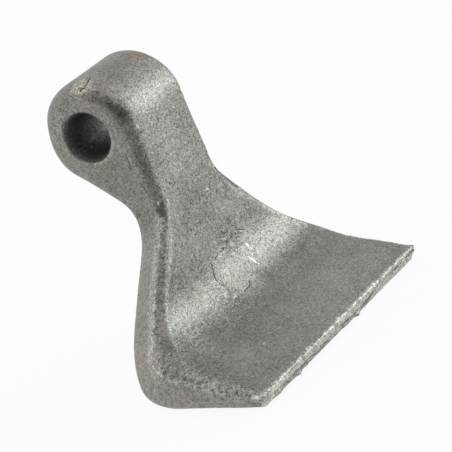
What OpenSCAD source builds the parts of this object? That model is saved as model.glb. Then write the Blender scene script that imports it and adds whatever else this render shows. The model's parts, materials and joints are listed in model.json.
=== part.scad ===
// Flail mower hammer: a one-piece steel forging that swings on a rotor pin
// X runs along the pin, the scoop faces -Y, Z is up, and the origin is the middle of the pin hole
// Profile points are [forward, up], where forward is towards the cutting lip

/* [Eye] */
// Diameter of the hole for the rotor pin
bore_d = 16.5; // [14:0.5:18.5]
// Chamfer at each mouth of the hole
bore_chamfer = 0.9; // [0.4:0.1:1.4]
// Length of the eye along the pin, which is also the width of the stem
eye_w = 37.1; // [32:0.1:44]
// Outer radius of the eye
eye_r = 18.2; // [16.6:0.1:20]
// Rounding round both rims of the eye
eye_edge = 5.3; // [3:0.1:6.5]

/* [Stem] */
// Lean of the stem's centre line from upright while the sole is level
stem_lean = 25.2; // [18:0.1:30]
// Forward place of the bend behind the neck
neck_forward = 7; // [4:0.1:10]
// Drop of that bend below the pin
neck_drop = 28.2; // [25:0.1:32]
// Radius of the hollow behind the neck
neck_r = 10.7; // [5:0.1:16]
// Width of the worn edge down the front of the stem
stem_edge = 2.7; // [1.5:0.1:4.5]
// Rounding of the edges along the back
back_edge = 3.7; // [2:0.1:5]

/* [Blade] */
// Width of the cutting lip
blade_w = 112.8; // [96:0.2:130]
// Distance down the stem at which the sides start to flare
flare_start = 36.2; // [33:0.1:42]
// Distance down the stem at which the blade is at its full width
flare_end = 75.8; // [70:0.1:84]
// Radius of the hollow corner at the start of the flare
flare_in_r = 11.6; // [4:0.1:16]
// Radius of the round shoulder at the end of the flare
flare_out_r = 11.8; // [6:0.1:20]
// Width of the worn edge down the front of each wing
wing_edge = 4.3; // [2:0.1:5]

/* [Scoop and toe] */
// Forward place of the bend in the front face
scoop_forward = 23.9; // [21:0.1:27]
// Radius of that bend
scoop_r = 26.2; // [14:0.1:30]
// Width of the edge at the outer ends of the bend
scoop_edge = 6.4; // [4:0.1:7.5]
// Forward reach of the cutting lip
toe_reach = 63.4; // [58:0.2:72]
// Slope of the toe plate below level
toe_slope = 17.9; // [13:0.1:20]
// Width of the edge along each end of the toe plate
toe_edge = 4; // [2:0.1:5.5]
// Thickness of the cutting lip
lip_t = 4.7; // [3.6:0.1:7]
// Rounding of the lip's four long edges
lip_edge = 1.2; // [0.6:0.1:1.6]

/* [Heel] */
// Drop of the sole below the pin
sole_drop = 84.2; // [79:0.1:89]
// Forward place of the heel's corner
heel_forward = 6.8; // [5:0.1:10]
// Radius of the heel
heel_r = 21.8; // [12:0.1:25]

/* [Hidden] */
$fn = 96;

// Steps along each stretch of the body and round each edge
eye_steps = 18;
line_steps = 6;
arc_steps = 13;
toe_steps = 7;
edge_steps = 5;
// Half angle of the narrow flat on top of the eye, and share of the rim's round that is kept up there
top_flat = 4;
rim_share = 0.98;
// Share by which a worn front edge is flattened from a round towards a chamfer
worn_flat = 0.5;
steel_grey = [0.5, 0.5, 0.48];

half_eye = eye_w / 2;
half_blade = blade_w / 2;
bore_r = bore_d / 2;

// Plane geometry
function unit(v) = v / norm(v);
function mix(a, b, t) = a + (b - a) * t;
function heading(v) = atan2(v.y, v.x);
function polar(r, a) = r * [cos(a), sin(a)];
function turned(v, a) = [v.x * cos(a) - v.y * sin(a), v.x * sin(a) + v.y * cos(a)];
function backwards(list) = [for (i = [len(list) - 1:-1:0]) list[i]];
function last(list) = list[len(list) - 1];
function line(a, b, steps) = [for (i = [0:steps]) mix(a, b, i / steps)];

// Fillet of radius r in the corner at v, from the leg towards a to the leg towards b
function corner_angle(a, v, b) = acos(unit(a - v) * unit(b - v));
function fillet(a, v, b, r) =
    let (half = corner_angle(a, v, b) / 2)
    let (start = v + unit(a - v) * r / tan(half))
    let (centre = v + unit(unit(a - v) + unit(b - v)) * r / sin(half))
    let (sweep = sign(cross(v - a, b - v)) * (180 - 2 * half))
    [for (i = [0:arc_steps]) centre + turned(start - centre, sweep * i / arc_steps)];

// Distance covered along a path, at each of its points
function distances(path) =
    [for (i = 0, s = 0; i < len(path); i = i + 1, s = s + (i < len(path) ? norm(path[i] - path[i - 1]) : 0)) s];

// Corners of the side profile
lip_top = [toe_reach, -sole_drop + lip_t * cos(toe_slope)];
lip_low = lip_top - lip_t * [sin(toe_slope), cos(toe_slope)];
scoop = [scoop_forward, lip_top.y + (toe_reach - scoop_forward) * tan(toe_slope)];
neck = [neck_forward, -neck_drop];
heel = [heel_forward, -sole_drop];

// Point where a line from p touches the eye, on the front for a side of 1 and on the back for -1
function eye_touch(p, side) = polar(eye_r, heading(p) + side * acos(eye_r / norm(p)));

front_touch = eye_touch(scoop, 1);
back_touch = eye_touch(neck, -1);
scoop_arc = fillet(front_touch, scoop, lip_top, scoop_r);
neck_arc = fillet(back_touch, neck, heel, neck_r);
heel_arc = fillet(neck, heel, lip_low, heel_r);

// Front and back of the eye, in parallel cuts from its top down to where the flanks leave it
front_angle = heading(front_touch);
back_angle = heading(back_touch) + 360;
eye_axis = (front_angle + back_angle) / 2;
eye_sweep = (back_angle - front_angle) / 2;
eye_cuts = [for (i = [0:eye_steps]) mix(top_flat, eye_sweep, i / eye_steps)];
eye_front = [for (a = eye_cuts) polar(eye_r, eye_axis - a)];
eye_back = [for (a = eye_cuts) polar(eye_r, eye_axis + a)];

// Flanks between the eye and the bends, matched by distance along the back
back_flank = concat(
    line(back_touch, neck_arc[0], line_steps),
    [for (i = [1:arc_steps]) neck_arc[i]],
    [for (i = [1:2 * line_steps]) mix(last(neck_arc), heel_arc[0], i / (2 * line_steps))]
);
flank_runs = distances(back_flank);
flank_share = [for (s = flank_runs) s / last(flank_runs)];
front_flank = [for (t = flank_share) mix(front_touch, scoop_arc[0], t)];

// All stations from the eye's top to the lip, with a place of 0 to 1 in the eye, to 2 at the bend,
// to 3 past it and to 4 at the lip
function rest(list) = [for (i = [1:len(list) - 1]) list[i]];
fronts = concat(eye_front, rest(front_flank), rest(scoop_arc), rest(line(last(scoop_arc), lip_top, toe_steps)));
backs = concat(eye_back, rest(back_flank), rest(heel_arc), rest(line(last(heel_arc), lip_low, toe_steps)));
places = concat(
    [for (i = [0:eye_steps]) i / eye_steps],
    [for (t = rest(flank_share)) 1 + t],
    [for (i = [1:arc_steps]) 2 + i / arc_steps],
    [for (i = [1:toe_steps]) 3 + i / toe_steps]
);

// Half width of the body, by distance down the stem's centre line
stem_axis = [sin(stem_lean), -cos(stem_lean)];
stem_side = [flare_start, half_eye];
wing_side = [flare_end, half_blade];
half_widths = concat(
    fillet([0, half_eye], stem_side, wing_side, flare_in_r),
    fillet(stem_side, wing_side, [2 * flare_end, half_blade], flare_out_r)
);

// Widths of the front and back edges and the flattening of the front ones, eased from place to place
edge_places = [1, 1.45, 2, 2.5, 3, 4];
front_edges = [eye_edge, stem_edge, wing_edge, scoop_edge, toe_edge, lip_edge];
back_edges = [eye_edge, back_edge, back_edge, back_edge, back_edge, lip_edge];
flattening = [0, worn_flat, worn_flat, worn_flat, worn_flat, worn_flat];
function eased(t) = t * t * (3 - 2 * t);
function at_place(place, values) =
    let (spot = lookup(place, [for (i = [0:len(edge_places) - 1]) [edge_places[i], i]]))
    let (i = min(floor(spot), len(values) - 2))
    mix(values[i], values[i + 1], eased(spot - i));

// A corner of a cut, as [out from the middle, along the thickness], from the face round to the side
function body_corner(half_w, half_t, r, flat) =
    [for (i = [0:edge_steps])
        let (t = i / edge_steps)
        let (round = [half_w - r + r * sin(90 * t), half_t - r + r * cos(90 * t)])
        let (chamfer = [half_w - r + r * t, half_t - r * t])
        mix(round, chamfer, flat)];

// The same for a cut through the eye, u above the eye's centre, where the rim's round is a part of a torus
function eye_corner(u) =
    let (stop = acos(max(0, (u - eye_r + eye_edge) / eye_edge)) * rim_share)
    [for (i = [0:edge_steps])
        let (a = stop * i / edge_steps)
        let (reach = eye_r - eye_edge + eye_edge * cos(a))
        [half_eye - eye_edge + eye_edge * sin(a), sqrt(reach * reach - u * u)]];

// Ring of points round one cut, from its front and back corners
function ring(front, back, front_corner, back_corner) =
    let (middle = (front + back) / 2)
    let (along = unit(front - back))
    let (cut = concat(
        [for (c = backwards(front_corner)) [-c.x, c.y]],
        front_corner,
        [for (c = backwards(back_corner)) [c.x, -c.y]],
        [for (c = back_corner) [-c.x, -c.y]]
    ))
    [for (c = cut) let (p = middle + c.y * along) [c.x, -p.x, p.y]];

function eye_ring(i) =
    let (corner = eye_corner(eye_r * cos(eye_cuts[i])))
    ring(fronts[i], backs[i], corner, corner);

function body_ring(i) =
    let (half_w = lookup((fronts[i] + backs[i]) / 2 * stem_axis, half_widths))
    let (half_t = norm(fronts[i] - backs[i]) / 2)
    let (front_r = at_place(places[i], front_edges))
    let (back_r = at_place(places[i], back_edges))
    ring(
        fronts[i],
        backs[i],
        body_corner(half_w, half_t, front_r, at_place(places[i], flattening)),
        body_corner(half_w, half_t, back_r, 0)
    );

rings = [for (i = [0:len(places) - 1]) i <= eye_steps ? eye_ring(i) : body_ring(i)];

// Skin over a list of rings, closed at both ends, with each patch split along its shorter diagonal
module loft(rings) {
    points = [for (r = rings) each r];
    count = len(rings[0]);
    final = len(rings) - 1;
    sides = [
        for (i = [0:final - 1], j = [0:count - 1])
            let (a = i * count + j, b = i * count + (j + 1) % count)
            let (c = a + count, d = b + count)
            each norm(points[a] - points[d]) < norm(points[b] - points[c])
                ? [[a, c, d], [a, d, b]]
                : [[a, c, b], [b, c, d]]
    ];
    first_end = [for (j = [0:count - 1]) j];
    final_end = [for (j = [count - 1:-1:0]) final * count + j];
    polyhedron(points, concat([first_end], sides, [final_end]), convexity = 6);
}

// Hole for the pin with its chamfered mouths, as a cutter that reaches past both sides of the eye
module pin_hole() {
    past = 1;
    mouth = bore_r + bore_chamfer + past;
    rotate([0, 90, 0])
        rotate_extrude()
            polygon([
                [0, -half_eye - past],
                [mouth, -half_eye - past],
                [bore_r, -half_eye + bore_chamfer],
                [bore_r, half_eye - bore_chamfer],
                [mouth, half_eye + past],
                [0, half_eye + past]
            ]);
}

module hammer() {
    color(steel_grey)
        difference() {
            loft(rings);
            pin_hole();
        }
}

hammer();
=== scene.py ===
"""Forged skin, steel finish and studio for a flail mower hammer, laid out as an add-on."""

import json
import math
from functools import reduce

import bmesh
import bpy
from bpy.props import FloatProperty, FloatVectorProperty, IntProperty, PointerProperty
from mathutils import Matrix, Vector, noise
from mathutils.geometry import intersect_point_line


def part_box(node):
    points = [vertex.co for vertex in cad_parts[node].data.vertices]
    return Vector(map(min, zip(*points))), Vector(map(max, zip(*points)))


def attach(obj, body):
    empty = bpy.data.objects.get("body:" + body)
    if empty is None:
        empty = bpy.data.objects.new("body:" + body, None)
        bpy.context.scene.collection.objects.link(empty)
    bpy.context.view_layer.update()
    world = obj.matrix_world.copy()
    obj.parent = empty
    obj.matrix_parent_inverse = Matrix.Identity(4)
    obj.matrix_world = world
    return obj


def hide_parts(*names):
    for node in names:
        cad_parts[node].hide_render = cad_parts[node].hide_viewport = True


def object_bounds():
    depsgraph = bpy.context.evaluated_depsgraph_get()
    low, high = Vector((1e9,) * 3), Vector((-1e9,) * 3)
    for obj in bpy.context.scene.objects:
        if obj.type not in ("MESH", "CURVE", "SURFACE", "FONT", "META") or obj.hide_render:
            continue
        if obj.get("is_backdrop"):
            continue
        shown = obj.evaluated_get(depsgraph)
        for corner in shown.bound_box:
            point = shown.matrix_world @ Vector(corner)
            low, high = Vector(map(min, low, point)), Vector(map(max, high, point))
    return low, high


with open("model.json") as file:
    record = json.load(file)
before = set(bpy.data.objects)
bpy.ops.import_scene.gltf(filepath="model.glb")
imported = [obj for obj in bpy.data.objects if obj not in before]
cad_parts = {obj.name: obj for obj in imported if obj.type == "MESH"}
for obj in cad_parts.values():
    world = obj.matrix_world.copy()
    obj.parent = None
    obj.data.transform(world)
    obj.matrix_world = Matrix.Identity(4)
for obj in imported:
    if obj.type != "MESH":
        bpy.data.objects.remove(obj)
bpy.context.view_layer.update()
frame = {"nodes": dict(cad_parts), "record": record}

bl_info = {
    "name": "Flail mower hammer",
    "version": (1, 0, 0),
    "blender": (4, 5, 0),
    "location": "View3D > Sidebar > Hammer",
    "description": "Dresses the hammer's solid with a forged skin, a raw steel finish and a plain studio",
    "category": "Object",
}

MM = 0.001
NODE = "hammer"
PIN_BORE = next(m for m in frame["record"]["mounts"] if m["name"] == "pin_bore")


class Stroke:
    """A line on the forging through points in millimetres, with its half width, depth and strength."""

    # How far from the line its distance is still worked out
    reach = Vector((3, 3, 3))

    def __init__(self, half, depth, *points, shade=1.0):
        self.half = half
        self.depth = depth
        self.shade = shade
        self.path = [Vector(point) for point in points]
        self.low = Vector(map(min, zip(*points))) - self.reach
        self.high = Vector(map(max, zip(*points))) + self.reach

    def stretches(self):
        return zip(self.path, self.path[1:])

    def distance(self, p):
        """Shortest distance from a point to the line, or infinity well away from it."""
        if any(p[i] < self.low[i] or p[i] > self.high[i] for i in range(3)):
            return math.inf
        return min((p - nearest_on(p, a, b)).length for a, b in self.stretches())


def nearest_on(q, a, b):
    """Nearest point to q on the straight stretch from a to b."""
    foot, share = intersect_point_line(q, a, b)
    return a if share < 0 else b if share > 1 else foot


# Places and sizes on the forging, in millimetres in the part's frame

# Trimmed parting line on both sides, as [forward, up] in the side view, from the eye down and along the toe
SEAM = [
    (9.8, -1.5), (19.6, -32), (20.1, -52), (21.2, -61),
    (22.6, -68.5), (29.7, -72.6), (43.9, -77), (64, -82),
]
SEAM_WIDTH = 0.7
SEAM_WANDER = 0.15
SEAM_WANDER_LENGTH = 4
# Sideways share of the normal where the skin counts as a side that has the line
SEAM_SIDE = (0.2, 0.5)
# Above this height the line is a shallow crease
SEAM_CREASE_ABOVE = -31
SEAM_CREASE_DEPTH = 0.12
SEAM_CREASE_WIDTH = 0.55
# Below these heights the line is rubbed bright
SEAM_BRIGHTENS = (-43, -51)
SEAM_BRIGHT_WIDTH = 0.5
# Lines on both wings, given on +X: raised border of the scoop, crease outside it and worn strip on the side
BORDER = Stroke(
    1.3, -0.3, (15.4, -20.3, -27.5), (22.2, -21.7, -40.6), (33.2, -22.7, -51.3), (39, -23.8, -56),
    (43.9, -25.2, -60.2), (47.3, -28.2, -64),
)
CREASE = Stroke(
    0.9, 0.12, (18.4, -19.2, -27.2), (21.2, -19.9, -33), (29.2, -20.8, -42.5), (37.8, -21.3, -52),
    (41.9, -21.7, -56.2), (46.1, -23.1, -60.7), (48.6, -26, -63.6),
)
WORN_STRIP = Stroke(
    1.9, 0, (20.4, -19.1, -31), (29.2, -18.4, -43.2), (41.3, -19, -56.7), (51, -20.9, -66.8),
)
# Painted shade along the rounded edge of the stem and eye, on +X
EDGE_PAINTED_SHADE = Stroke(
    2.2, 0, (17.2, -15.4, 4.5), (17, -16.6, 0.3), (17, -17.4, -6.2), (17.3, -18.2, -13.4),
    (17.8, -19.3, -25.6),
)
# Painted shade in the lower corner of each wing, on +X
CORNER_PAINTED_SHADE = Stroke(3.6, 0, (50.2, -25.5, -66.5), (53, -29.5, -70.5))
# Painted shade in the bend between the scoop and the toe plate, below the lit streak
BEND_PAINTED_SHADE = Stroke(5.5, 0, (-30, -36, -70.5), (52, -35.5, -70.5))
# Lighter and darker patches, whose strength is the change of tone: some are the skin's own tone, and some
# are painted highlight and painted shade, as marked below
TONE_AND_LIGHT_PATCHES = [
    # On the eye and the stem: first a painted highlight on the eye's front, then darker skin
    Stroke(6, 0, (-4.5, -18, 2.8), (-3.4, -18.5, -2.8), (-2, -19.2, -10.7), shade=0.14),
    Stroke(4, 0, (-13.5, -16.2, 8.2), (-11.5, -16.5, 8), shade=-0.13),
    Stroke(5, 0, (-18.5, -7, -11), (-18.5, -10, -17), shade=-0.1),
    Stroke(6, 0, (-5.8, -20.8, -30.4), (0.2, -21.3, -36.2), shade=-0.1),
    # In the scoop and its bend: a painted highlight on the border, then painted shade round the edges of
    # the lit streak
    Stroke(1.5, 0, (-20, -21.5, -36), (-27, -22.2, -45.5), shade=0.13),
    Stroke(5, 0, (-24, -23.4, -54.5), (-13.3, -23.6, -55.3), shade=-0.2),
    Stroke(4, 0, (-45, -27, -63.2), (-40.5, -29.5, -65.2), shade=-0.18),
    Stroke(4, 0, (-45.8, -29.6, -65.4), (-46.8, -33, -68.3), shade=-0.26),
    Stroke(3.5, 0, (-31, -31.3, -67), (-26, -31.3, -67), shade=-0.2),
    Stroke(2.8, 0, (10, -32, -67.6), (24, -31.6, -67.3), (46, -31, -66.9), shade=-0.22),
    # On the toe plate, its near side and the lip
    Stroke(6, 0, (-41.4, -41.4, -72.6), (-34.8, -46.1, -74.1), shade=0.17),
    Stroke(4, 0, (-56.4, -31.6, -78.5), (-56.4, -50.4, -80.1), shade=-0.07),
    Stroke(4, 0, (30, -62.8, -80.6), (54, -62.8, -80.6), shade=-0.13),
    Stroke(4, 0, (-52, -62.5, -80.5), (-40, -62.5, -80.5), shade=0.1),
]
# Cracks, cold shuts and creases, and painted shade at the far corner of the lip
CRACKS = [
    # On the near rim of the eye
    Stroke(0.22, 0.3, (-10.8, -3, 17.9), (-13.9, -4.1, 17.6), (-16.5, -3.7, 16.6), (-17.4, -2.4, 16)),
    # Down the near side of the neck
    Stroke(
        0.19, 0.1, (-18.5, -12.7, -7.5), (-18.5, -13.1, -9.4), (-18.6, -13.1, -11.2), (-18.5, -12.6, -13.3),
        shade=0.6,
    ),
    Stroke(0.19, 0.1, (-18.5, -15.1, -18.3), (-18.5, -16, -20.2), (-18.6, -16.7, -22.8), shade=0.55),
    # Round the mark of the ejector pin in the scoop
    Stroke(
        0.2, 0.15, (4, -23, -53), (2.2, -23.1, -53.3), (0.6, -23, -53.1), (-2.8, -23.1, -53.8),
        shade=0.9,
    ),
    Stroke(0.2, 0.2, (-6.1, -23.4, -54.6), (-8.4, -24.3, -57.3), (-8.8, -25.1, -59.1), (-8, -26.7, -61.8)),
    Stroke(0.16, 0.12, (-8, -27.2, -62.6), (-7.9, -28.5, -64.2), (-9.6, -29.3, -65.2), shade=0.8),
    Stroke(
        0.16, 0.14, (3.5, -29.3, -65.2), (1.6, -30.3, -66.2), (-0.6, -30.6, -66.5), (-2.9, -30.4, -66.3),
        shade=0.7,
    ),
    # In the rippled patch above that mark
    Stroke(0.2, 0.12, (4.3, -22.4, -48.5), (8.9, -22.4, -49.4), (10.3, -22.4, -48.7), shade=0.6),
    Stroke(0.2, 0.12, (12, -22.6, -50.3), (14.2, -22.6, -50.8), (18.5, -22.9, -52.8), shade=0.7),
    Stroke(
        0.18, 0.12, (5.9, -23, -53.1), (8, -22.9, -52.6), (11.2, -23, -52.8), (14, -23.1, -53.6),
        shade=0.7,
    ),
    Stroke(0.18, 0.1, (2.2, -22.6, -50.9), (5, -22.7, -51.6), (7, -22.8, -52.4), shade=0.7),
    Stroke(0.18, 0.1, (13, -22.8, -51.9), (16.4, -22.9, -53.2), shade=0.5),
    # Scratches on the toe plate
    Stroke(
        0.2, 0.05, (-7, -41.7, -72.7), (-8.2, -43.7, -73.4), (-9, -48, -74.8), (-10.5, -50.9, -75.7),
        shade=0.5,
    ),
    Stroke(0.2, 0.05, (-19.1, -44.2, -73.5), (-19.1, -47, -74.4), (-19.4, -50.7, -75.6), shade=0.4),
    # On the near rim of the toe and at the corners of the lip
    Stroke(0.18, 0.15, (-55.8, -40.5, -74.9), (-54.8, -42.7, -74.4)),
    Stroke(0.4, 0.2, (-56.4, -61.6, -81.2), (-56.4, -62, -81.6), shade=0.6),
    # At the far corner: a nick whose dark tone is painted shade on its rolled tip
    Stroke(0.8, 0.1, (55.6, -63, -79.2), (56.6, -63.9, -80.2)),
    # Flash left along the far edge of the stem
    Stroke(
        0.4, 0.05, (16.5, -20.6, -28.4), (18.6, -20.9, -32), (21.9, -21.2, -36.1), (24.5, -21.5, -39.2),
        shade=0.9,
    ),
]
# Bright nicks
NICKS = [
    # In the scoop and its bend
    Stroke(0.4, 0.05, (15.6, -24.2, -57.1), (15.8, -24.5, -57.7)),
    Stroke(0.12, 0.03, (16.1, -24.9, -58.7), (15.6, -25.6, -59.9), (14.3, -26.1, -60.8), shade=0.7),
    Stroke(0.28, 0.08, (12.2, -25.8, -60.4), (12.8, -27, -62.3), (13.1, -28.2, -63.8)),
    Stroke(0.13, 0.03, (18.2, -25.7, -60.2), (18.3, -26.3, -61.2), shade=0.7),
    Stroke(0.11, 0.03, (33.9, -30.6, -66.4), (35.6, -30.6, -66.5), shade=0.6),
    Stroke(0.11, 0.03, (15.6, -32.1, -67.8), (18.3, -32.4, -68), shade=0.6),
    # On the stem and eye
    Stroke(0.4, 0.05, (7.1, -20.9, -32.7), (8.3, -21, -32.6)),
    Stroke(0.35, 0.05, (-14.5, -18, 1.2), (-14.2, -18.1, -0.2), shade=0.9),
    Stroke(0.35, 0.03, (-18.1, -19, -25.8), (-18.2, -19.8, -28.8), shade=0.7),
    # On the toe plate and its near side
    Stroke(0.5, 0.03, (-27.3, -49, -75), (-27.7, -49.2, -75.1), shade=0.4),
    Stroke(0.55, 0.05, (-56.4, -59.1, -79.8), (-56.4, -60.4, -80), (-56.5, -61.2, -80.2)),
    Stroke(0.2, 0.02, (-56.4, -38.5, -81), (-56.4, -46.3, -81), (-56.4, -59.7, -81.1), shade=0.2),
]
# Width over which a crack's or nick's flank falls away
FLANK = 0.5
# Mark of the ejector pin in the middle of the scoop, its height and the softness of its edge
EJECTOR = Vector((-1, -26, -60.4))
EJECTOR_RISE = 0.08
EJECTOR_EDGE = 0.5
# Rippled and scaly patches on the front, each with its middle, reach, depth and the strength of its flakes
RIPPLES = [
    (Vector((9, -22.6, -50)), 6.5, 0.34, 0.65),
    (Vector((-13, -30, -66)), 7.5, 0.2, 0.5),
    (Vector((-4, -46, -74.3)), 13.0, 0.07, 0.3),
]
# Length and width of the ripples, and the share of a patch's depth below which it is left out
RIPPLE_LENGTH = 3
RIPPLE_WIDTH = 1.5
RIPPLE_FADE = 0.02
# Patch on the near rim of the eye: bare metal, brightened as a painted highlight where the rim rolls over
BARE_AND_HIGHLIGHT_PATCH = Vector((-16.3, -2.6, 16.9))
# Rust stain on top of the eye
RUST_STAIN = Vector((12.5, -7.6, 16.6))
# Lit part of the pin hole's wall, which the far mouth brightens
LIT_WALL = Vector((-3.2, 7.2, -4))
# Rough rims beside the toe plate: width at the back, how much they narrow and over which stretch forward
RIM_WIDTH = 6.4
RIM_NARROWS = 4.2
RIM_TAPER = (26, 60)
# Where the rims start, how ragged and soft their edge is, and the upward share of the normal on their slope
RIM_START = (20.5, 25)
RIM_RAGGED = 0.8
RIM_RAGGED_LENGTH = 3
RIM_SOFT = 1.2
RIM_SLOPE = (0.05, 0.4)
# Grain of the rims, and their share of roughness on the far side
RIM_GRAIN = 1.4
FAR_RIM = 0.5
# Groove of the sheared lip: its half width, how far it wanders and rises, and where along the lip it rises
GROOVE_WIDTH = 0.45
GROOVE_WANDER = 0.4
GROOVE_RISE = 1.4
GROOVE_RISES = (17, 27)
# Places along the lip between which its near end loses the groove
GROOVE_ENDS = (-47, -51)
# Where the skin counts as the lip's sheared face, by its place out from that face and down it
LIP_DEPTH = (-1.1, -0.4)
LIP_EDGE = (-0.6, 0.2)
# Heights on the sheared lip: crown over the groove, tears, hem at its foot and nibbles at its top edge
LIP_CROWN = 0.35
LIP_TEARS = 0.16
LIP_HEM = 0.12
LIP_NIBBLES = 0.4
# Burrs hanging from the lower edge of the lip, each with its place along it, reach and half width
BURRS = [(10.2, 1.1, 1.3), (-32.6, 0.8, 1.4), (2.5, 0.35, 2.0), (-46, 0.35, 2.0)]
# Lumps and a rounding at the corners of the lip, each with its place, direction and reach
CORNER_LUMPS = [
    (Vector((-56, -61.6, -80.4)), Vector((-0.7, -0.6, 0.4)), 0.45),
    (Vector((56, -62.8, -80.2)), Vector((0.6, -0.6, 0.5)), 0.6),
    (Vector((56, -62, -83.8)), Vector((-0.5, 0.2, 0.85)), 1.2),
]
# Half width of each lump
LUMP_WIDTH = 1.3
# Swells and hollows left by the dies, each with its middle, reach and height
SWELLS = [
    (Vector((-14, 0, 17)), 7.0, 0.3),
    (Vector((-16, 14, -11)), 7.0, 0.45),
    (Vector((16, -16, 6)), 8.0, 0.3),
    (Vector((-18, 17, 4)), 6.0, -0.3),
]
# Shorter waves of the skin: their share of the long waves' depth, and how many fit in a long wave
FINE_WAVE_DEPTH = 0.5
FINE_WAVE_TIMES = 2.7
PIT_SIZE = 1.5
# How far the skin's points are moved by a smoothing pass, as a share
SMOOTHING = 0.5
# Points up to this far outside the hole's mouth are drawn in, and by how much, before it is drilled again
HOLE_MARGIN = 0.3
HOLE_INSET = 1.6
# How far the drill stands out of both mouths, and its steps round
DRILL_PAST = 2.0
DRILL_STEPS = 96
# Points closer than this are made one in the solid and the drill
MERGE = 0.001
# The same after the drill's cut, and the length of the slivers that are then taken out
CUT_MERGE = 0.02
CUT_SLIVER = 0.01
# Edges sharper than this stay crisp
SHARP_ANGLE = math.radians(50)
# Shares of the normal between which the skin turns to a side, away from the front, and to a top
SIDE_TURN = (0.5, 0.72)
FRONT_TURN = (0.62, 0.3)
TOP_TURN = (0.68, 0.93)

# Texture of the steel, in millimetres: fine and coarse grain, clouds, brown bloom and flakes
GRAIN = 0.55
COARSE = 1.3
CLOUD = 14
BLOOM = 9
FLAKES = 2.6
# How far lines on the steel wander, and over what length
WANDER = 0.35
WANDER_LENGTH = 2.5
# Height of the grain's bump, and its strength
BUMP_DEPTH = 0.25
BUMP_STRENGTH = 0.6

# Cosines of the angles from the middle of the unlit wall at which the room is darkest and fully lit
DUSK_SPREAD = (0.92, 0.0)
# Grey of the floor's matt share
FLOOR_GREY = 0.95
# Gap between the part and the floor, and width of the camera's sensor, in millimetres
FLOOR_GAP = 0.2
SENSOR = 36


class HammerSkin(bpy.types.PropertyGroup):
    """Sizes of the forged skin."""

    voxel: FloatProperty(
        name="Voxel", description="Cell of the skin's mesh", default=0.58 * MM, unit="LENGTH", precision=5
    )
    smooth_passes: IntProperty(
        name="Smoothing", description="Passes that soften the skin's steps", default=5
    )
    chamfer: FloatProperty(
        name="Chamfer", description="Chamfer at each mouth of the pin hole", default=0.9 * MM, unit="LENGTH"
    )
    lip_thickness: FloatProperty(
        name="Lip thickness", description="Thickness of the cutting lip", default=4.7 * MM, unit="LENGTH"
    )
    toe_slope: FloatProperty(
        name="Toe slope", description="Slope of the toe plate", default=math.radians(17.9), subtype="ANGLE"
    )
    wave_depth: FloatProperty(
        name="Wave depth", description="Height of the long waves of the skin",
        default=0.13 * MM, unit="LENGTH",
    )
    wave_length: FloatProperty(
        name="Wave length", description="Length of the long waves of the skin",
        default=15 * MM, unit="LENGTH",
    )
    pit_depth: FloatProperty(
        name="Pit depth", description="Depth of the small pits", default=0.13 * MM, unit="LENGTH"
    )
    seam_height: FloatProperty(
        name="Seam height", description="Height of the trimmed parting line",
        default=0.3 * MM, unit="LENGTH",
    )
    rim_depth: FloatProperty(
        name="Rim roughness", description="Roughness of the rims beside the toe",
        default=0.32 * MM, unit="LENGTH",
    )
    lip_groove: FloatProperty(
        name="Lip groove", description="Depth of the groove along the sheared lip",
        default=0.5 * MM, unit="LENGTH",
    )
    groove_drop: FloatProperty(
        name="Groove drop", description="Place of that groove below the lip's upper edge",
        default=3.1 * MM, unit="LENGTH",
    )
    ejector_radius: FloatProperty(
        name="Ejector mark", description="Radius of the round mark in the scoop",
        default=8.2 * MM, unit="LENGTH",
    )


class HammerSteel(bpy.types.PropertyGroup):
    """Colours of the raw steel, as linear values."""

    front: FloatVectorProperty(
        name="Blasted front", description="Front of the stem and scoop",
        default=(0.297, 0.302, 0.279), subtype="COLOR",
    )
    side: FloatVectorProperty(
        name="Sides", description="Drawn sides and eye", default=(0.284, 0.272, 0.249), subtype="COLOR"
    )
    # Faces that look up get the sides' colour made darker, which is painted shade
    top: FloatVectorProperty(
        name="Tops", description="Worn toe plate and top of the eye",
        default=(0.25, 0.238, 0.219), subtype="COLOR",
    )
    lip: FloatVectorProperty(
        name="Lip", description="Freshly sheared lip", default=(0.52, 0.505, 0.465), subtype="COLOR"
    )
    # Dark scale, also used as the colour of painted shade in the lip's groove and at its far corner
    scale: FloatVectorProperty(
        name="Scale", description="Dark scale in pits, cracks and creases",
        default=(0.03, 0.031, 0.029), subtype="COLOR",
    )
    bore: FloatVectorProperty(
        name="Pin hole", description="Dark wall of the pin hole",
        default=(0.21, 0.22, 0.205), subtype="COLOR",
    )
    bright: FloatVectorProperty(
        name="Bright metal", description="Nicks and polished grains",
        default=(0.8, 0.79, 0.76), subtype="COLOR",
    )
    # Colour of the eye's rim patch: bare metal with a painted highlight
    bare_and_highlight: FloatVectorProperty(
        name="Bare metal", description="Rubbed patch on the eye",
        default=(0.56, 0.53, 0.42), subtype="COLOR",
    )
    rust: FloatVectorProperty(
        name="Rust", description="Small rust stain", default=(0.33, 0.2, 0.1), subtype="COLOR"
    )
    bloom: FloatVectorProperty(
        name="Bloom", description="Faint brown tint in patches",
        default=(0.26, 0.225, 0.185), subtype="COLOR",
    )


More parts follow.
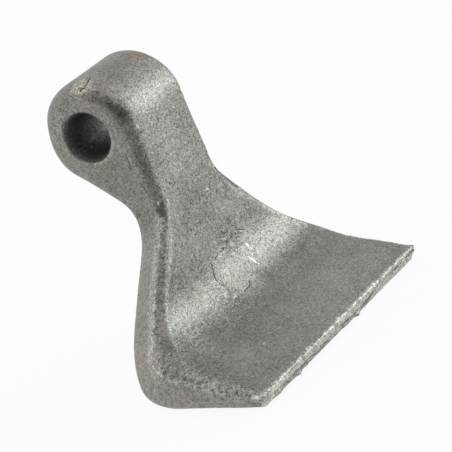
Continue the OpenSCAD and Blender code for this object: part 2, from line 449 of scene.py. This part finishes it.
class HammerStudio(bpy.types.PropertyGroup):
    """Camera, lamp and background."""

    azimuth: FloatProperty(
        name="Azimuth", description="Direction of the camera round the part",
        default=math.radians(-54.36), subtype="ANGLE",
    )
    elevation: FloatProperty(
        name="Elevation", description="Height of the camera as an angle",
        default=math.radians(18.15), subtype="ANGLE",
    )
    roll: FloatProperty(
        name="Roll", description="Lean of the camera to its right",
        default=math.radians(17.91), subtype="ANGLE",
    )
    distance: FloatProperty(
        name="Distance", description="Camera to target", default=893.7 * MM, unit="LENGTH"
    )
    target: FloatVectorProperty(
        name="Target", description="Point at the middle of the picture",
        default=(0.39 * MM, -29.13 * MM, -43.64 * MM), subtype="XYZ",
    )
    lens: FloatProperty(
        name="Lens", description="Focal length on a 36 mm sensor, in millimetres", default=212.0
    )
    key_azimuth: FloatProperty(
        name="Key azimuth", description="Direction of the key lamp",
        default=math.radians(55), subtype="ANGLE",
    )
    key_elevation: FloatProperty(
        name="Key elevation", description="Height of the key lamp",
        default=math.radians(15), subtype="ANGLE",
    )
    key_distance: FloatProperty(
        name="Key distance", description="Lamp to part", default=900 * MM, unit="LENGTH"
    )
    key_size: FloatProperty(
        name="Key size", description="Side of the square softbox", default=300 * MM, unit="LENGTH"
    )
    key_power: FloatProperty(
        name="Key power", description="Power of the key lamp", default=1.15, unit="POWER"
    )
    dusk: FloatProperty(
        name="Dusk", description="Brightness of the unlit wall of the studio, behind the camera",
        default=0.04,
    )
    dusk_elevation: FloatProperty(
        name="Dusk height", description="Height of the darkest part of that wall",
        default=math.radians(-10), subtype="ANGLE",
    )
    ambient: FloatProperty(name="Ambient", description="Light of the room on matt surfaces", default=0.9)
    floor_half: FloatProperty(
        name="Floor", description="Half the side of the floor", default=2.5, unit="LENGTH"
    )
    floor_white: FloatProperty(
        name="Floor white",
        description="Share of plain white in the floor, which keeps the rest for the shadow",
        default=0.92,
    )


class Shade:
    """A value in a node tree. Python's operators on it add Math nodes, and node() adds any other."""

    def __init__(self, tree, socket=None):
        self.tree = tree
        self.socket = socket

    def node(self, kind, settings=None, sockets=None, out=0):
        """Adds a node, sets its settings, then fills its sockets with values or links."""
        made = self.tree.nodes.new(kind)
        for name, value in (settings or {}).items():
            setattr(made, name, value)
        for name, value in (sockets or {}).items():
            if isinstance(value, Shade):
                self.tree.links.new(value.socket, made.inputs[name])
            else:
                made.inputs[name].default_value = value
        return Shade(self.tree, made.outputs[out]) if made.outputs else made

    def math(self, operation, a, b):
        return self.node("ShaderNodeMath", {"operation": operation}, {0: a, 1: b})

    def __add__(self, other):
        return self.math("ADD", self, other)

    def __radd__(self, other):
        return self.math("ADD", other, self)

    def __sub__(self, other):
        return self.math("SUBTRACT", self, other)

    def __rsub__(self, other):
        return self.math("SUBTRACT", other, self)

    def __mul__(self, other):
        return self.math("MULTIPLY", self, other)

    def __rmul__(self, other):
        return self.math("MULTIPLY", other, self)

    def __abs__(self):
        return self.math("ABSOLUTE", self, 0.0)

    def larger(self, other):
        return self.math("MAXIMUM", self, other)

    def smaller(self, other):
        return self.math("MINIMUM", self, other)

    def between(self, low, high):
        """0 below low and 1 above high, with a soft change between. A low above high turns it round."""
        return self.node(
            "ShaderNodeMapRange",
            {"interpolation_type": "SMOOTHSTEP"},
            {"Value": self, "From Min": low, "From Max": high, "To Min": 0.0, "To Max": 1.0},
        )

    def between_mm(self, low, high):
        """The same for a length, with both ends in millimetres."""
        return self.between(low * MM, high * MM)

    def vector(self, operation, a, b, out=0):
        return self.node("ShaderNodeVectorMath", {"operation": operation}, {0: a, 1: b}, out)

    def along(self, place, direction):
        """How far each point lies along a direction."""
        return self.vector("DOT_PRODUCT", place, tuple(direction), out=1)

    def scaled(self, vector, factor):
        """A vector or colour times a number."""
        return self.node("ShaderNodeVectorMath", {"operation": "SCALE"}, {0: vector, "Scale": factor})

    def blend(self, factor, a, b):
        """Mix of two colours, each a link or a plain colour."""
        a, b = (c if isinstance(c, Shade) else (*c, 1) for c in (a, b))
        return self.node("ShaderNodeMix", {"data_type": "RGBA"}, {"Factor": factor, 6: a, 7: b}, out=2)

    def noise(self, place, size, detail=2.0, roughness=0.5, distortion=0.0, out=0):
        """Noise whose grains are about the given size across, in millimetres."""
        sockets = {
            "Vector": place,
            "Scale": 1 / (size * MM),
            "Detail": detail,
            "Roughness": roughness,
            "Distortion": distortion,
        }
        return self.node("ShaderNodeTexNoise", {}, sockets, out)

    def shaken(self, place, size, reach):
        """The place moved to and fro by up to about reach, so that a line through it wanders."""
        shake = self.vector("SUBTRACT", self.noise(place, size, out="Color"), (0.5, 0.5, 0.5))
        return self.vector("ADD", place, self.scaled(shake, 2 * reach * MM))

    def spot(self, place, middle, outer, inner):
        """1 within the inner radius of a point and 0 beyond the outer one, all in millimetres."""
        return self.vector("DISTANCE", place, tuple(middle * MM), out=1).between_mm(outer, inner)

    def stretch_distance(self, place, start, end):
        """Distance from each point to a straight stretch, in metres."""
        way = end - start
        offset = self.vector("SUBTRACT", place, tuple(start))
        share = self.along(offset, way / way.length_squared)
        foot = self.scaled(tuple(way), share.larger(0.0).smaller(1.0))
        return self.vector("DISTANCE", offset, foot, out=1)

    def on_stroke(self, place, stroke, soft=0.5):
        """The stroke's strength on its line and 0 beside it."""
        ways = [self.stretch_distance(place, a * MM, b * MM) for a, b in stroke.stretches()]
        nearest = reduce(Shade.smaller, ways)
        return stroke.shade * nearest.between_mm(stroke.half * (1 + soft), stroke.half * (1 - soft))

    def on_any_stroke(self, place, strokes):
        return reduce(Shade.larger, [self.on_stroke(place, stroke) for stroke in strokes])


def bell(distance, width):
    """1 at no distance, falling away smoothly over the width."""
    return math.exp(-((distance / width) ** 2))


def ramp(value, low, high):
    """0 at low and 1 at high, with a soft change between."""
    t = min(1, max(0, (value - low) / (high - low)))
    return t * t * (3 - 2 * t)


def ragged(x, length, row, sheet):
    """Noise along the lip, whose swings are about the given length. Row and sheet choose the line."""
    return noise.noise(Vector((x / length, row, sheet)))


class Forging:
    """The hammer's main lines, in millimetres, taken from its solid and the skin's sizes."""

    def __init__(self, skin):
        low, high = (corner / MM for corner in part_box(NODE))
        self.half_blade = high.x
        self.bore_r = PIN_BORE["dims"]["r_mm"]
        self.chamfer = skin.chamfer / MM
        self.mouth_r = self.bore_r + self.chamfer
        self.half_eye = PIN_BORE["dims"]["length_mm"] / 2 + self.chamfer
        self.lip_t = skin.lip_thickness / MM
        slope = skin.toe_slope
        self.lip_out = Vector((0, -math.cos(slope), -math.sin(slope)))
        self.lip_down = Vector((0, math.sin(slope), -math.cos(slope)))
        self.lip_top = Vector((0, low.y, low.z + self.lip_t * math.cos(slope)))
        self.seam = [Vector(point) for point in SEAM]

    def on_lip(self, p):
        """Places of a point down the sheared face of the lip and out from it."""
        q = p - self.lip_top
        return q.dot(self.lip_down), q.dot(self.lip_out)

    def lip_share(self, p):
        """1 on the sheared face of the lip."""
        down, out = self.on_lip(p)
        return ramp(out, *LIP_DEPTH) * ramp(down, *LIP_EDGE)

    def rim_share(self, p, n):
        """1 on the rough rims beside the toe plate, on the slope between its top and its sides."""
        forward = -p.y
        width = RIM_WIDTH - RIM_NARROWS * ramp(forward, *RIM_TAPER)
        edge = abs(p.x) - self.half_blade + width + RIM_RAGGED * noise.noise(p / RIM_RAGGED_LENGTH)
        return ramp(edge, -RIM_SOFT, RIM_SOFT) * ramp(forward, *RIM_START) * ramp(n.z, *RIM_SLOPE)

    def seam_offset(self, p, n):
        """Distance to the parting line, and how far the point lies on a side that has one."""
        q = Vector((-p.y, p.z))
        wander = SEAM_WANDER * noise.noise(p / SEAM_WANDER_LENGTH)
        away = min((q - nearest_on(q, a, b)).length for a, b in zip(self.seam, self.seam[1:]))
        return away + wander, ramp(abs(n.x), *SEAM_SIDE)


def merged_copy(piece, reach):
    """The piece's mesh with points closer than the reach, in millimetres, made one."""
    bm = bmesh.new()
    bm.from_mesh(piece.data)
    bmesh.ops.remove_doubles(bm, verts=bm.verts, dist=reach * MM)
    return bm


def close_in_hole(bm, form):
    """Draws the pin hole in, so that it can be drilled again through the finished skin."""
    reach = (form.mouth_r + HOLE_MARGIN) * MM
    share = 1 - HOLE_INSET / form.bore_r
    for v in bm.verts:
        if math.hypot(v.co.y, v.co.z) < reach:
            v.co.y *= share
            v.co.z *= share


def new_object(name, data):
    made = bpy.data.objects.new(name, data)
    bpy.context.scene.collection.objects.link(made)
    return made


def object_from(bm, name):
    mesh = bpy.data.meshes.new(name)
    bm.to_mesh(mesh)
    bm.free()
    return new_object(name, mesh)


def apply_modifiers(piece):
    """Replaces a piece's mesh by what its modifiers make of it."""
    graph = bpy.context.evaluated_depsgraph_get()
    made = bpy.data.meshes.new_from_object(piece.evaluated_get(graph))
    piece.modifiers.clear()
    old = piece.data
    piece.data = made
    bpy.data.meshes.remove(old)


def even_out(piece, skin):
    """Gives the piece an even skin of small faces."""
    remesh = piece.modifiers.new("even skin", "REMESH")
    remesh.mode = "VOXEL"
    remesh.voxel_size = skin.voxel
    apply_modifiers(piece)
    bm = bmesh.new()
    bm.from_mesh(piece.data)
    for _ in range(skin.smooth_passes):
        bmesh.ops.smooth_vert(
            bm, verts=bm.verts, factor=SMOOTHING, use_axis_x=True, use_axis_y=True, use_axis_z=True
        )
    bm.to_mesh(piece.data)
    bm.free()


def die_skin(p, skin):
    """Height of the waves, swells and pits that the dies and the scale left."""
    wave = skin.wave_length / MM
    finer = FINE_WAVE_DEPTH * noise.noise(p / wave * FINE_WAVE_TIMES)
    height = skin.wave_depth / MM * (noise.noise(p / wave) + finer)
    height -= skin.pit_depth / MM * ramp(noise.noise(p / PIT_SIZE + Vector((7, 3, 1))), 0.2, 0.65)
    for middle, reach, rise in SWELLS:
        height += rise * bell((p - middle).length, reach)
    return height


def front_marks(p, skin):
    """Height of the ejector mark, the rippled patches, the cracks and the nicks."""
    inside = skin.ejector_radius / MM - (p - EJECTOR).length
    height = EJECTOR_RISE * ramp(inside, -EJECTOR_EDGE, EJECTOR_EDGE)
    for middle, reach, depth, _ in RIPPLES:
        near = bell((p - middle).length, reach)
        if near > RIPPLE_FADE:
            q = Vector((p.x / RIPPLE_LENGTH, p.y / RIPPLE_WIDTH, p.z / RIPPLE_WIDTH))
            height += depth * near * noise.noise(q)
    for stroke in CRACKS + NICKS:
        height -= stroke.depth * bell(stroke.distance(p), FLANK)
    return height


def seam_marks(p, n, rim, form, skin):
    """Height of the trimmed parting line, of the scoop's raised border and of the rough rims."""
    off, on_side = form.seam_offset(p, n)
    patchy = ramp(noise.noise(p / 6 + Vector((0, 9, 4))), -0.5, 0.4)
    if p.z > SEAM_CREASE_ABOVE:
        height = -SEAM_CREASE_DEPTH * bell(off, SEAM_CREASE_WIDTH) * patchy
    else:
        height = skin.seam_height / MM * bell(off, SEAM_WIDTH) * (0.4 + 0.6 * patchy)
    height *= on_side
    mirrored = Vector((abs(p.x), p.y, p.z))
    for stroke in (BORDER, CREASE):
        height -= stroke.depth * bell(stroke.distance(mirrored), stroke.half)
    rough = noise.fractal(p / RIM_GRAIN, 0.7, 2.0, 3)
    near_side = 1 if p.x < 0 else FAR_RIM
    return height + skin.rim_depth / MM * rim * rough * near_side


def lip_marks(p, form, skin):
    """How far the sheared face of the lip stands out, with its groove, tears and burrs."""
    share = form.lip_share(p)
    if share == 0:
        return 0
    down, _ = form.on_lip(p)
    past_foot = down - form.lip_t
    rise = GROOVE_RISE * ramp(p.x, *GROOVE_RISES)
    groove_at = skin.groove_drop / MM - rise + GROOVE_WANDER * ragged(p.x, 8, 2, 0)
    groove = bell(down - groove_at, GROOVE_WIDTH) * ramp(ragged(p.x, 12, 5, 1), -0.5, 0)
    crown = LIP_CROWN * ramp(down, 0, groove_at - 0.4)
    tears = LIP_TEARS * noise.noise(Vector((p.x / 4, down / 0.9, 8)))
    hem = LIP_HEM * bell(past_foot + 0.3, 0.6) * ramp(ragged(p.x, 3, 1, 3), -0.3, 0.5)
    nibbles = -LIP_NIBBLES * bell(down, 0.9) * ramp(ragged(p.x, 2.2, 4, 6), -0.1, 0.5)
    height = crown + tears + hem + nibbles - skin.lip_groove / MM * groove
    for place, reach, half in BURRS:
        height += reach * bell(p.x - place, half) * bell(past_foot + 0.5, 0.8)
    return share * height


def store(piece, name, values):
    """Keeps a value for each point of the piece, which its material reads."""
    layer = piece.data.attributes.new(name, "FLOAT", "POINT")
    layer.data.foreach_set("value", values)


def work_skin(piece, form, skin):
    """Moves the skin's points to give it the marks of forging, trimming and use."""
    moves = []
    rims = []
    for v in piece.data.vertices:
        p = v.co / MM
        n = v.normal
        rim = form.rim_share(p, n)
        height = die_skin(p, skin) + front_marks(p, skin) + seam_marks(p, n, rim, form, skin)
        move = n * height + form.lip_out * lip_marks(p, form, skin)
        for place, direction, reach in CORNER_LUMPS:
            move += direction * reach * bell((p - place).length, LUMP_WIDTH)
        moves.append(move * MM)
        rims.append(rim)
    for v, move in zip(piece.data.vertices, moves):
        v.co += move
    piece.data.update()
    store(piece, "rim", rims)


def drill(piece, form):
    """Cuts the pin hole with its chamfered mouths through the finished skin."""
    wall = form.bore_r
    mouth = form.mouth_r + DRILL_PAST
    end = form.half_eye + DRILL_PAST
    shoulder = form.half_eye - form.chamfer
    outline = [(-end, 0), (-end, mouth), (-shoulder, wall), (shoulder, wall), (end, mouth), (end, 0)]
    bm = bmesh.new()
    points = [bm.verts.new((x * MM, 0, r * MM)) for x, r in outline]
    edges = [bm.edges.new(pair) for pair in zip(points, points[1:])]
    bmesh.ops.spin(
        bm, geom=points + edges, cent=(0, 0, 0), axis=(1, 0, 0),
        angle=math.tau, steps=DRILL_STEPS, use_merge=True,
    )
    bmesh.ops.remove_doubles(bm, verts=bm.verts, dist=MERGE * MM)
    bmesh.ops.recalc_face_normals(bm, faces=bm.faces)
    cutter = object_from(bm, "drill")
    cut = piece.modifiers.new("pin hole", "BOOLEAN")
    cut.operation = "DIFFERENCE"
    cut.solver = "EXACT"
    cut.object = cutter
    apply_modifiers(piece)
    bpy.data.objects.remove(cutter)
    bm = merged_copy(piece, CUT_MERGE)
    bmesh.ops.triangulate(bm, faces=[face for face in bm.faces if len(face.verts) > 4])
    bmesh.ops.dissolve_degenerate(bm, edges=bm.edges, dist=CUT_SLIVER * MM)
    bm.to_mesh(piece.data)
    bm.free()


def mark_zones(piece, form):
    """Stores on each point how far it lies on the drawn sides, the tops and the seam."""
    sides = []
    tops = []
    seams = []
    for v in piece.data.vertices:
        p = v.co / MM
        n = v.normal
        sides.append(max(ramp(abs(n.x), *SIDE_TURN), ramp(-n.y, *FRONT_TURN)))
        tops.append(ramp(n.z, *TOP_TURN))
        off, on_side = form.seam_offset(p, n)
        seams.append(on_side * bell(off, SEAM_BRIGHT_WIDTH) * ramp(p.z, *SEAM_BRIGHTENS))
    store(piece, "side", sides)
    store(piece, "top", tops)
    store(piece, "seam", seams)


def new_tree(owner):
    """An empty node tree for a material or world."""
    owner.use_nodes = True
    owner.node_tree.nodes.clear()
    return Shade(owner.node_tree)


def flake_mask(s, place, coarse):
    """Dark flakes in the rippled patches, along the level lines of a noise."""
    patches = [
        strength * s.spot(place, middle, 1.4 * reach, 0.6 * reach) for middle, reach, _, strength in RIPPLES
    ]
    level = abs(s.noise(place, FLAKES, detail=1.0, distortion=0.8) - 0.5)
    return reduce(Shade.larger, patches) * level.between(0.045, 0.015) * coarse.between(0.4, 0.55)


def lip_masks(s, place, across, bloom, form, skin):
    """Sheared metal of the lip, and painted shade in the groove along it."""
    from_lip = s.vector("SUBTRACT", place, tuple(form.lip_top * MM))
    torn = (s.noise(place, 2.4) - 0.5) * (2.6 * MM) + (bloom - 0.5) * (4 * MM)
    lip = (s.along(from_lip, form.lip_out) + torn).between_mm(-1.4, -0.7)
    far_end = across.between_mm(*GROOVE_RISES)
    near_end = across.between_mm(*GROOVE_ENDS)
    drop = skin.groove_drop - far_end * (GROOVE_RISE * MM)
    wander = (s.noise(place, 6) - 0.5) * (1.4 * MM)
    under = s.along(from_lip, form.lip_down) + wander - drop
    groove = (abs(under) + bloom * MM).between_mm(0.85, 0.5) * lip * (1 - near_end)
    groove = groove * (1 - far_end * s.noise(place, 2.2, detail=1.0).between(0.55, 0.42))
    above = under.between_mm(0.35, 0).larger(far_end).larger(near_end)
    sheared = lip * above * s.noise(place, 1.6, detail=3.0).between(0.28, 0.62)
    return sheared, groove


def mouth_masks(s, place, form):
    """Dark wall and chamfer of the pin hole, and painted light low in front of its mouth with painted shade
    behind it.
    """
    radius = s.vector("LENGTH", s.vector("MULTIPLY", place, (0, 1, 1)), (0, 0, 0), out=1)
    wall = radius.between_mm(form.bore_r + 0.25, form.bore_r + 0.05)
    bore = wall.larger(0.85 * radius.between_mm(form.mouth_r + 0.2, form.mouth_r - 0.2))
    around_mouth = radius.between_mm(form.mouth_r + 1.3, form.mouth_r + 0.5) * (1 - bore)
    low_front = s.along(place, (0, -0.6, -0.8)).between_mm(5, 9)
    back = s.along(place, (0, 1, 0)).between_mm(3, 8)
    return bore, around_mouth * (0.45 * low_front - 0.45 * back)


def forged_steel(steel, form, skin):
    """Raw forged steel: blasted grain, scale in the creases, bright nicks and a sheared lip."""
    material = bpy.data.materials.new("forged_steel")
    s = new_tree(material)
    place = s.node("ShaderNodeTexCoord", out="Object")
    side, top, rim, seam = (
        s.node("ShaderNodeAttribute", {"attribute_name": name}, out="Fac")
        for name in ("side", "top", "rim", "seam")
    )
    blasted = 1 - side.larger(top)
    grain = s.noise(place, GRAIN, detail=2.0, roughness=0.6)
    coarse = s.noise(place, COARSE, detail=2.0, roughness=0.55)
    cloud = s.noise(place, CLOUD, detail=3.0, roughness=0.55)
    bloom = s.noise(place, BLOOM, detail=4.0, roughness=0.6, distortion=0.6)

    # Lines, of which those on both wings are matched through a place folded onto +X
    wandering = s.shaken(place, WANDER_LENGTH, WANDER)
    across = s.along(wandering, (1, 0, 0))
    folded = s.vector("ADD", wandering, s.scaled((1, 0, 0), abs(across) - across))
    # Worn strip on the side, painted highlight on the scoop's border, and painted shade along the stem's
    # edge and in each wing's corner
    strip, border_highlight, edge, corner = (
        s.on_stroke(folded, stroke, soft=0.8) for stroke in (WORN_STRIP, BORDER, EDGE_PAINTED_SHADE, CORNER_PAINTED_SHADE)
    )
    bend_shade = s.on_stroke(wandering, BEND_PAINTED_SHADE)
    # Patches of the skin's tone, with painted highlight and painted shade among them
    patches = sum(s.on_stroke(wandering, stroke, soft=0.8) for stroke in TONE_AND_LIGHT_PATCHES)
    broken = 0.4 + 0.6 * coarse.between(0.32, 0.45)
    flakes = flake_mask(s, place, coarse)
    cracks = s.on_any_stroke(wandering, CRACKS) * broken
    nicks = s.on_any_stroke(wandering, NICKS) * broken
    sheared, groove = lip_masks(s, place, across, bloom, form, skin)
    # The mouth mask is painted light and painted shade round the pin hole
    bore, mouth = mouth_masks(s, place, form)

    # Colour of each zone and stain
    bare_and_highlight = s.spot(place, BARE_AND_HIGHLIGHT_PATCH, 5.5, 1.5) * grain.between(0.4, 0.6)
    worn = strip * (0.27 + 0.45 * grain.between(0.42, 0.6))
    # The pin hole's dark wall, with painted light on the part that the far mouth lights
    wall = s.scaled(tuple(steel.bore), 0.62 + 1.25 * s.spot(place, LIT_WALL, 11, 3))
    colour = tuple(steel.front)
    for share, tint in (
        (side, tuple(steel.side)),
        # Painted shade: faces that look up are darker
        (top, tuple(steel.top)),
        (bloom.between(0.5, 0.78) * 0.45, tuple(steel.bloom)),
        (s.spot(place, RUST_STAIN, 3.5, 0.5) * 0.5, tuple(steel.rust)),
        (sheared, tuple(steel.lip)),
        (bare_and_highlight * 0.8, tuple(steel.bare_and_highlight)),
        (worn, tuple(steel.lip)),
        (bore, wall),
    ):
        colour = s.blend(share, colour, tint)

    # Tone: grain and clouds, then patches of tone with painted highlight and painted shade, painted shade
    # along the stem's edge, in the bend and in the wings' corners, a painted highlight on the scoop's
    # border, painted light and shade round the pin hole's mouth, and lighter rims and seam
    tone = 1 + (grain - 0.5) * (2.2 + 0.4 * blasted + 0.5 * rim)
    tone = tone + (coarse - 0.5) * (1.1 + 0.4 * blasted + 0.5 * rim) + (cloud - 0.5) * 0.65
    tone = tone * (1 + patches - 0.24 * edge - 0.12 * bend_shade - 0.25 * corner)
    tone = tone * (1 + 0.22 * border_highlight + mouth + 0.26 * rim + 0.55 * seam * coarse.between(0.42, 0.55))
    colour = s.scaled(colour, tone.larger(0.2))

    # Dark pits, bright grains, cracks and nicks, and painted shade in the lip's groove and at its far
    # corner
    pits = grain.between(0.4, 0.26) * (0.18 + 0.17 * blasted)
    pits = pits + coarse.between(0.36, 0.24) * (0.15 + 0.35 * rim)
    grains = grain.between(0.62, 0.78) * (0.12 + 0.3 * blasted + 0.6 * rim + 0.3 * strip)
    for share, tint in (
        (pits.smaller(0.8), steel.scale),
        (grains, steel.bright),
        (cracks.larger(groove * 0.85).larger(flakes), steel.scale),
        (nicks * 0.8, steel.bright),
    ):
        colour = s.blend(share, colour, tuple(tint))

    gloss = 0.41 + (coarse - 0.5) * 0.25 + top * 0.06 + bore * 0.35 - nicks * 0.15
    height = grain * (0.3 + 0.5 * blasted) + coarse * (0.35 + 0.5 * rim) + cloud * 0.4
    height = height - cracks.larger(flakes) * 1.2
    normal = s.node(
        "ShaderNodeBump", {}, {"Strength": BUMP_STRENGTH, "Distance": BUMP_DEPTH * MM, "Height": height}
    )
    shader = s.node(
        "ShaderNodeBsdfPrincipled",
        {},
        {"Base Color": colour, "Metallic": 1.0, "Roughness": gloss, "Normal": normal},
    )
    s.node("ShaderNodeOutputMaterial", {}, {"Surface": shader})
    return material


def around(azimuth, elevation):
    """Unit vector from the part towards a place round it. Azimuth 0 is in front, at -Y."""
    flat = math.cos(elevation)
    return Vector((math.sin(azimuth) * flat, -math.cos(azimuth) * flat, math.sin(elevation)))


def aim(thing, place, back, roll=0.0):
    """Puts a camera or lamp at a place, looking along -back, leant to its right by roll."""
    turn = back.to_track_quat("Z", "Y").to_matrix().to_4x4()
    thing.matrix_world = Matrix.Translation(place) @ turn @ Matrix.Rotation(-roll, 4, "Z")


def add_camera(studio):
    data = bpy.data.cameras.new("camera")
    data.sensor_width = SENSOR
    data.lens = studio.lens
    data.clip_start = 10 * MM
    camera = new_object("camera", data)
    back = around(studio.azimuth, studio.elevation)
    aim(camera, Vector(studio.target) + back * studio.distance, back, studio.roll)
    bpy.context.scene.camera = camera


def add_key(studio):
    data = bpy.data.lights.new("key softbox", "AREA")
    data.energy = studio.key_power
    data.size = studio.key_size
    lamp = new_object("key_softbox", data)
    back = around(studio.key_azimuth, studio.key_elevation)
    aim(lamp, Vector(studio.target) + back * studio.key_distance, back)


def seen_directly(s):
    """1 for the camera's rays and for what metal or glass shows, and 0 for the light on matt surfaces."""
    seen = s.node("ShaderNodeLightPath", out="Is Camera Ray")
    for way in ("Is Glossy Ray", "Is Transmission Ray"):
        seen = seen.larger(s.node("ShaderNodeLightPath", out=way))
    return seen


def add_room(studio):
    """A white room whose wall behind the camera is unlit."""
    world = bpy.data.worlds.new("studio")
    s = new_tree(world)
    way = s.node("ShaderNodeTexCoord", out="Generated")
    unlit = around(studio.azimuth, studio.dusk_elevation)
    lit = s.along(way, unlit).between(*DUSK_SPREAD)
    camera = s.node("ShaderNodeLightPath", out="Is Camera Ray")
    lit = camera.larger(studio.dusk + lit * (1 - studio.dusk))
    seen = seen_directly(s)
    strength = lit * (seen + (1 - seen) * studio.ambient)
    light = s.node("ShaderNodeBackground", {}, {"Color": (1, 1, 1, 1), "Strength": strength})
    s.node("ShaderNodeOutputWorld", {}, {"Surface": light})
    bpy.context.scene.world = world


def white_floor(studio):
    material = bpy.data.materials.new("white_floor")
    s = new_tree(material)
    matt = s.node("ShaderNodeBsdfDiffuse", {}, {"Color": (FLOOR_GREY, FLOOR_GREY, FLOOR_GREY, 1)})
    plain = s.node("ShaderNodeEmission", {}, {"Color": (1, 1, 1, 1), "Strength": 1.0})
    white = seen_directly(s) * studio.floor_white
    surface = s.node("ShaderNodeMixShader", {}, {0: white, 1: matt, 2: plain})
    s.node("ShaderNodeOutputMaterial", {}, {"Surface": surface})
    return material


def add_floor(studio):
    bm = bmesh.new()
    bmesh.ops.create_grid(bm, x_segments=1, y_segments=1, size=studio.floor_half)
    bmesh.ops.translate(bm, verts=bm.verts, vec=(0, 0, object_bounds()[0].z - FLOOR_GAP * MM))
    floor = object_from(bm, "floor")
    floor.data.materials.append(white_floor(studio))
    floor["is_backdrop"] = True


class HAMMER_OT_forge(bpy.types.Operator):
    """Makes the forged body from the hammer's solid and gives it its steel"""

    bl_idname = "hammer.forge"
    bl_label = "Forge body"

    def execute(self, context):
        skin = context.scene.hammer_skin
        form = Forging(skin)
        bm = merged_copy(frame["nodes"][NODE], MERGE)
        close_in_hole(bm, form)
        body = object_from(bm, "forged_body")
        even_out(body, skin)
        work_skin(body, form, skin)
        drill(body, form)
        mark_zones(body, form)
        body.data.materials.clear()
        body.data.materials.append(forged_steel(context.scene.hammer_steel, form, skin))
        body.data.shade_smooth()
        body.data.set_sharp_from_angle(angle=SHARP_ANGLE)
        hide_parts(NODE)
        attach(body, "root")
        return {"FINISHED"}


class HAMMER_OT_stage(bpy.types.Operator):
    """Sets up the floor, the room, the key lamp and the camera"""

    bl_idname = "hammer.stage"
    bl_label = "Set stage"

    def execute(self, context):
        studio = context.scene.hammer_studio
        add_floor(studio)
        add_room(studio)
        add_key(studio)
        add_camera(studio)
        context.scene.view_settings.view_transform = "Standard"
        return {"FINISHED"}


class HAMMER_PT_panel(bpy.types.Panel):
    """Lists the hammer's steps and settings"""

    bl_idname = "HAMMER_PT_panel"
    bl_label = "Flail mower hammer"
    bl_space_type = "VIEW_3D"
    bl_region_type = "UI"
    bl_category = "Hammer"

    def draw(self, context):
        for operator, group in (
            (HAMMER_OT_forge, context.scene.hammer_skin),
            (None, context.scene.hammer_steel),
            (HAMMER_OT_stage, context.scene.hammer_studio),
        ):
            box = self.layout.box()
            if operator:
                box.operator(operator.bl_idname)
            for name in group.__annotations__:
                box.prop(group, name)


GROUPS = {"hammer_skin": HammerSkin, "hammer_steel": HammerSteel, "hammer_studio": HammerStudio}
CLASSES = (*GROUPS.values(), HAMMER_OT_forge, HAMMER_OT_stage, HAMMER_PT_panel)


def register():
    for cls in CLASSES:
        bpy.utils.register_class(cls)
    for name, group in GROUPS.items():
        setattr(bpy.types.Scene, name, PointerProperty(type=group))


def unregister():
    for name in GROUPS:
        delattr(bpy.types.Scene, name)
    for cls in reversed(CLASSES):
        bpy.utils.unregister_class(cls)


def main():
    register()
    bpy.ops.hammer.forge()
    bpy.ops.hammer.stage()


if __name__ == "__main__":
    main()
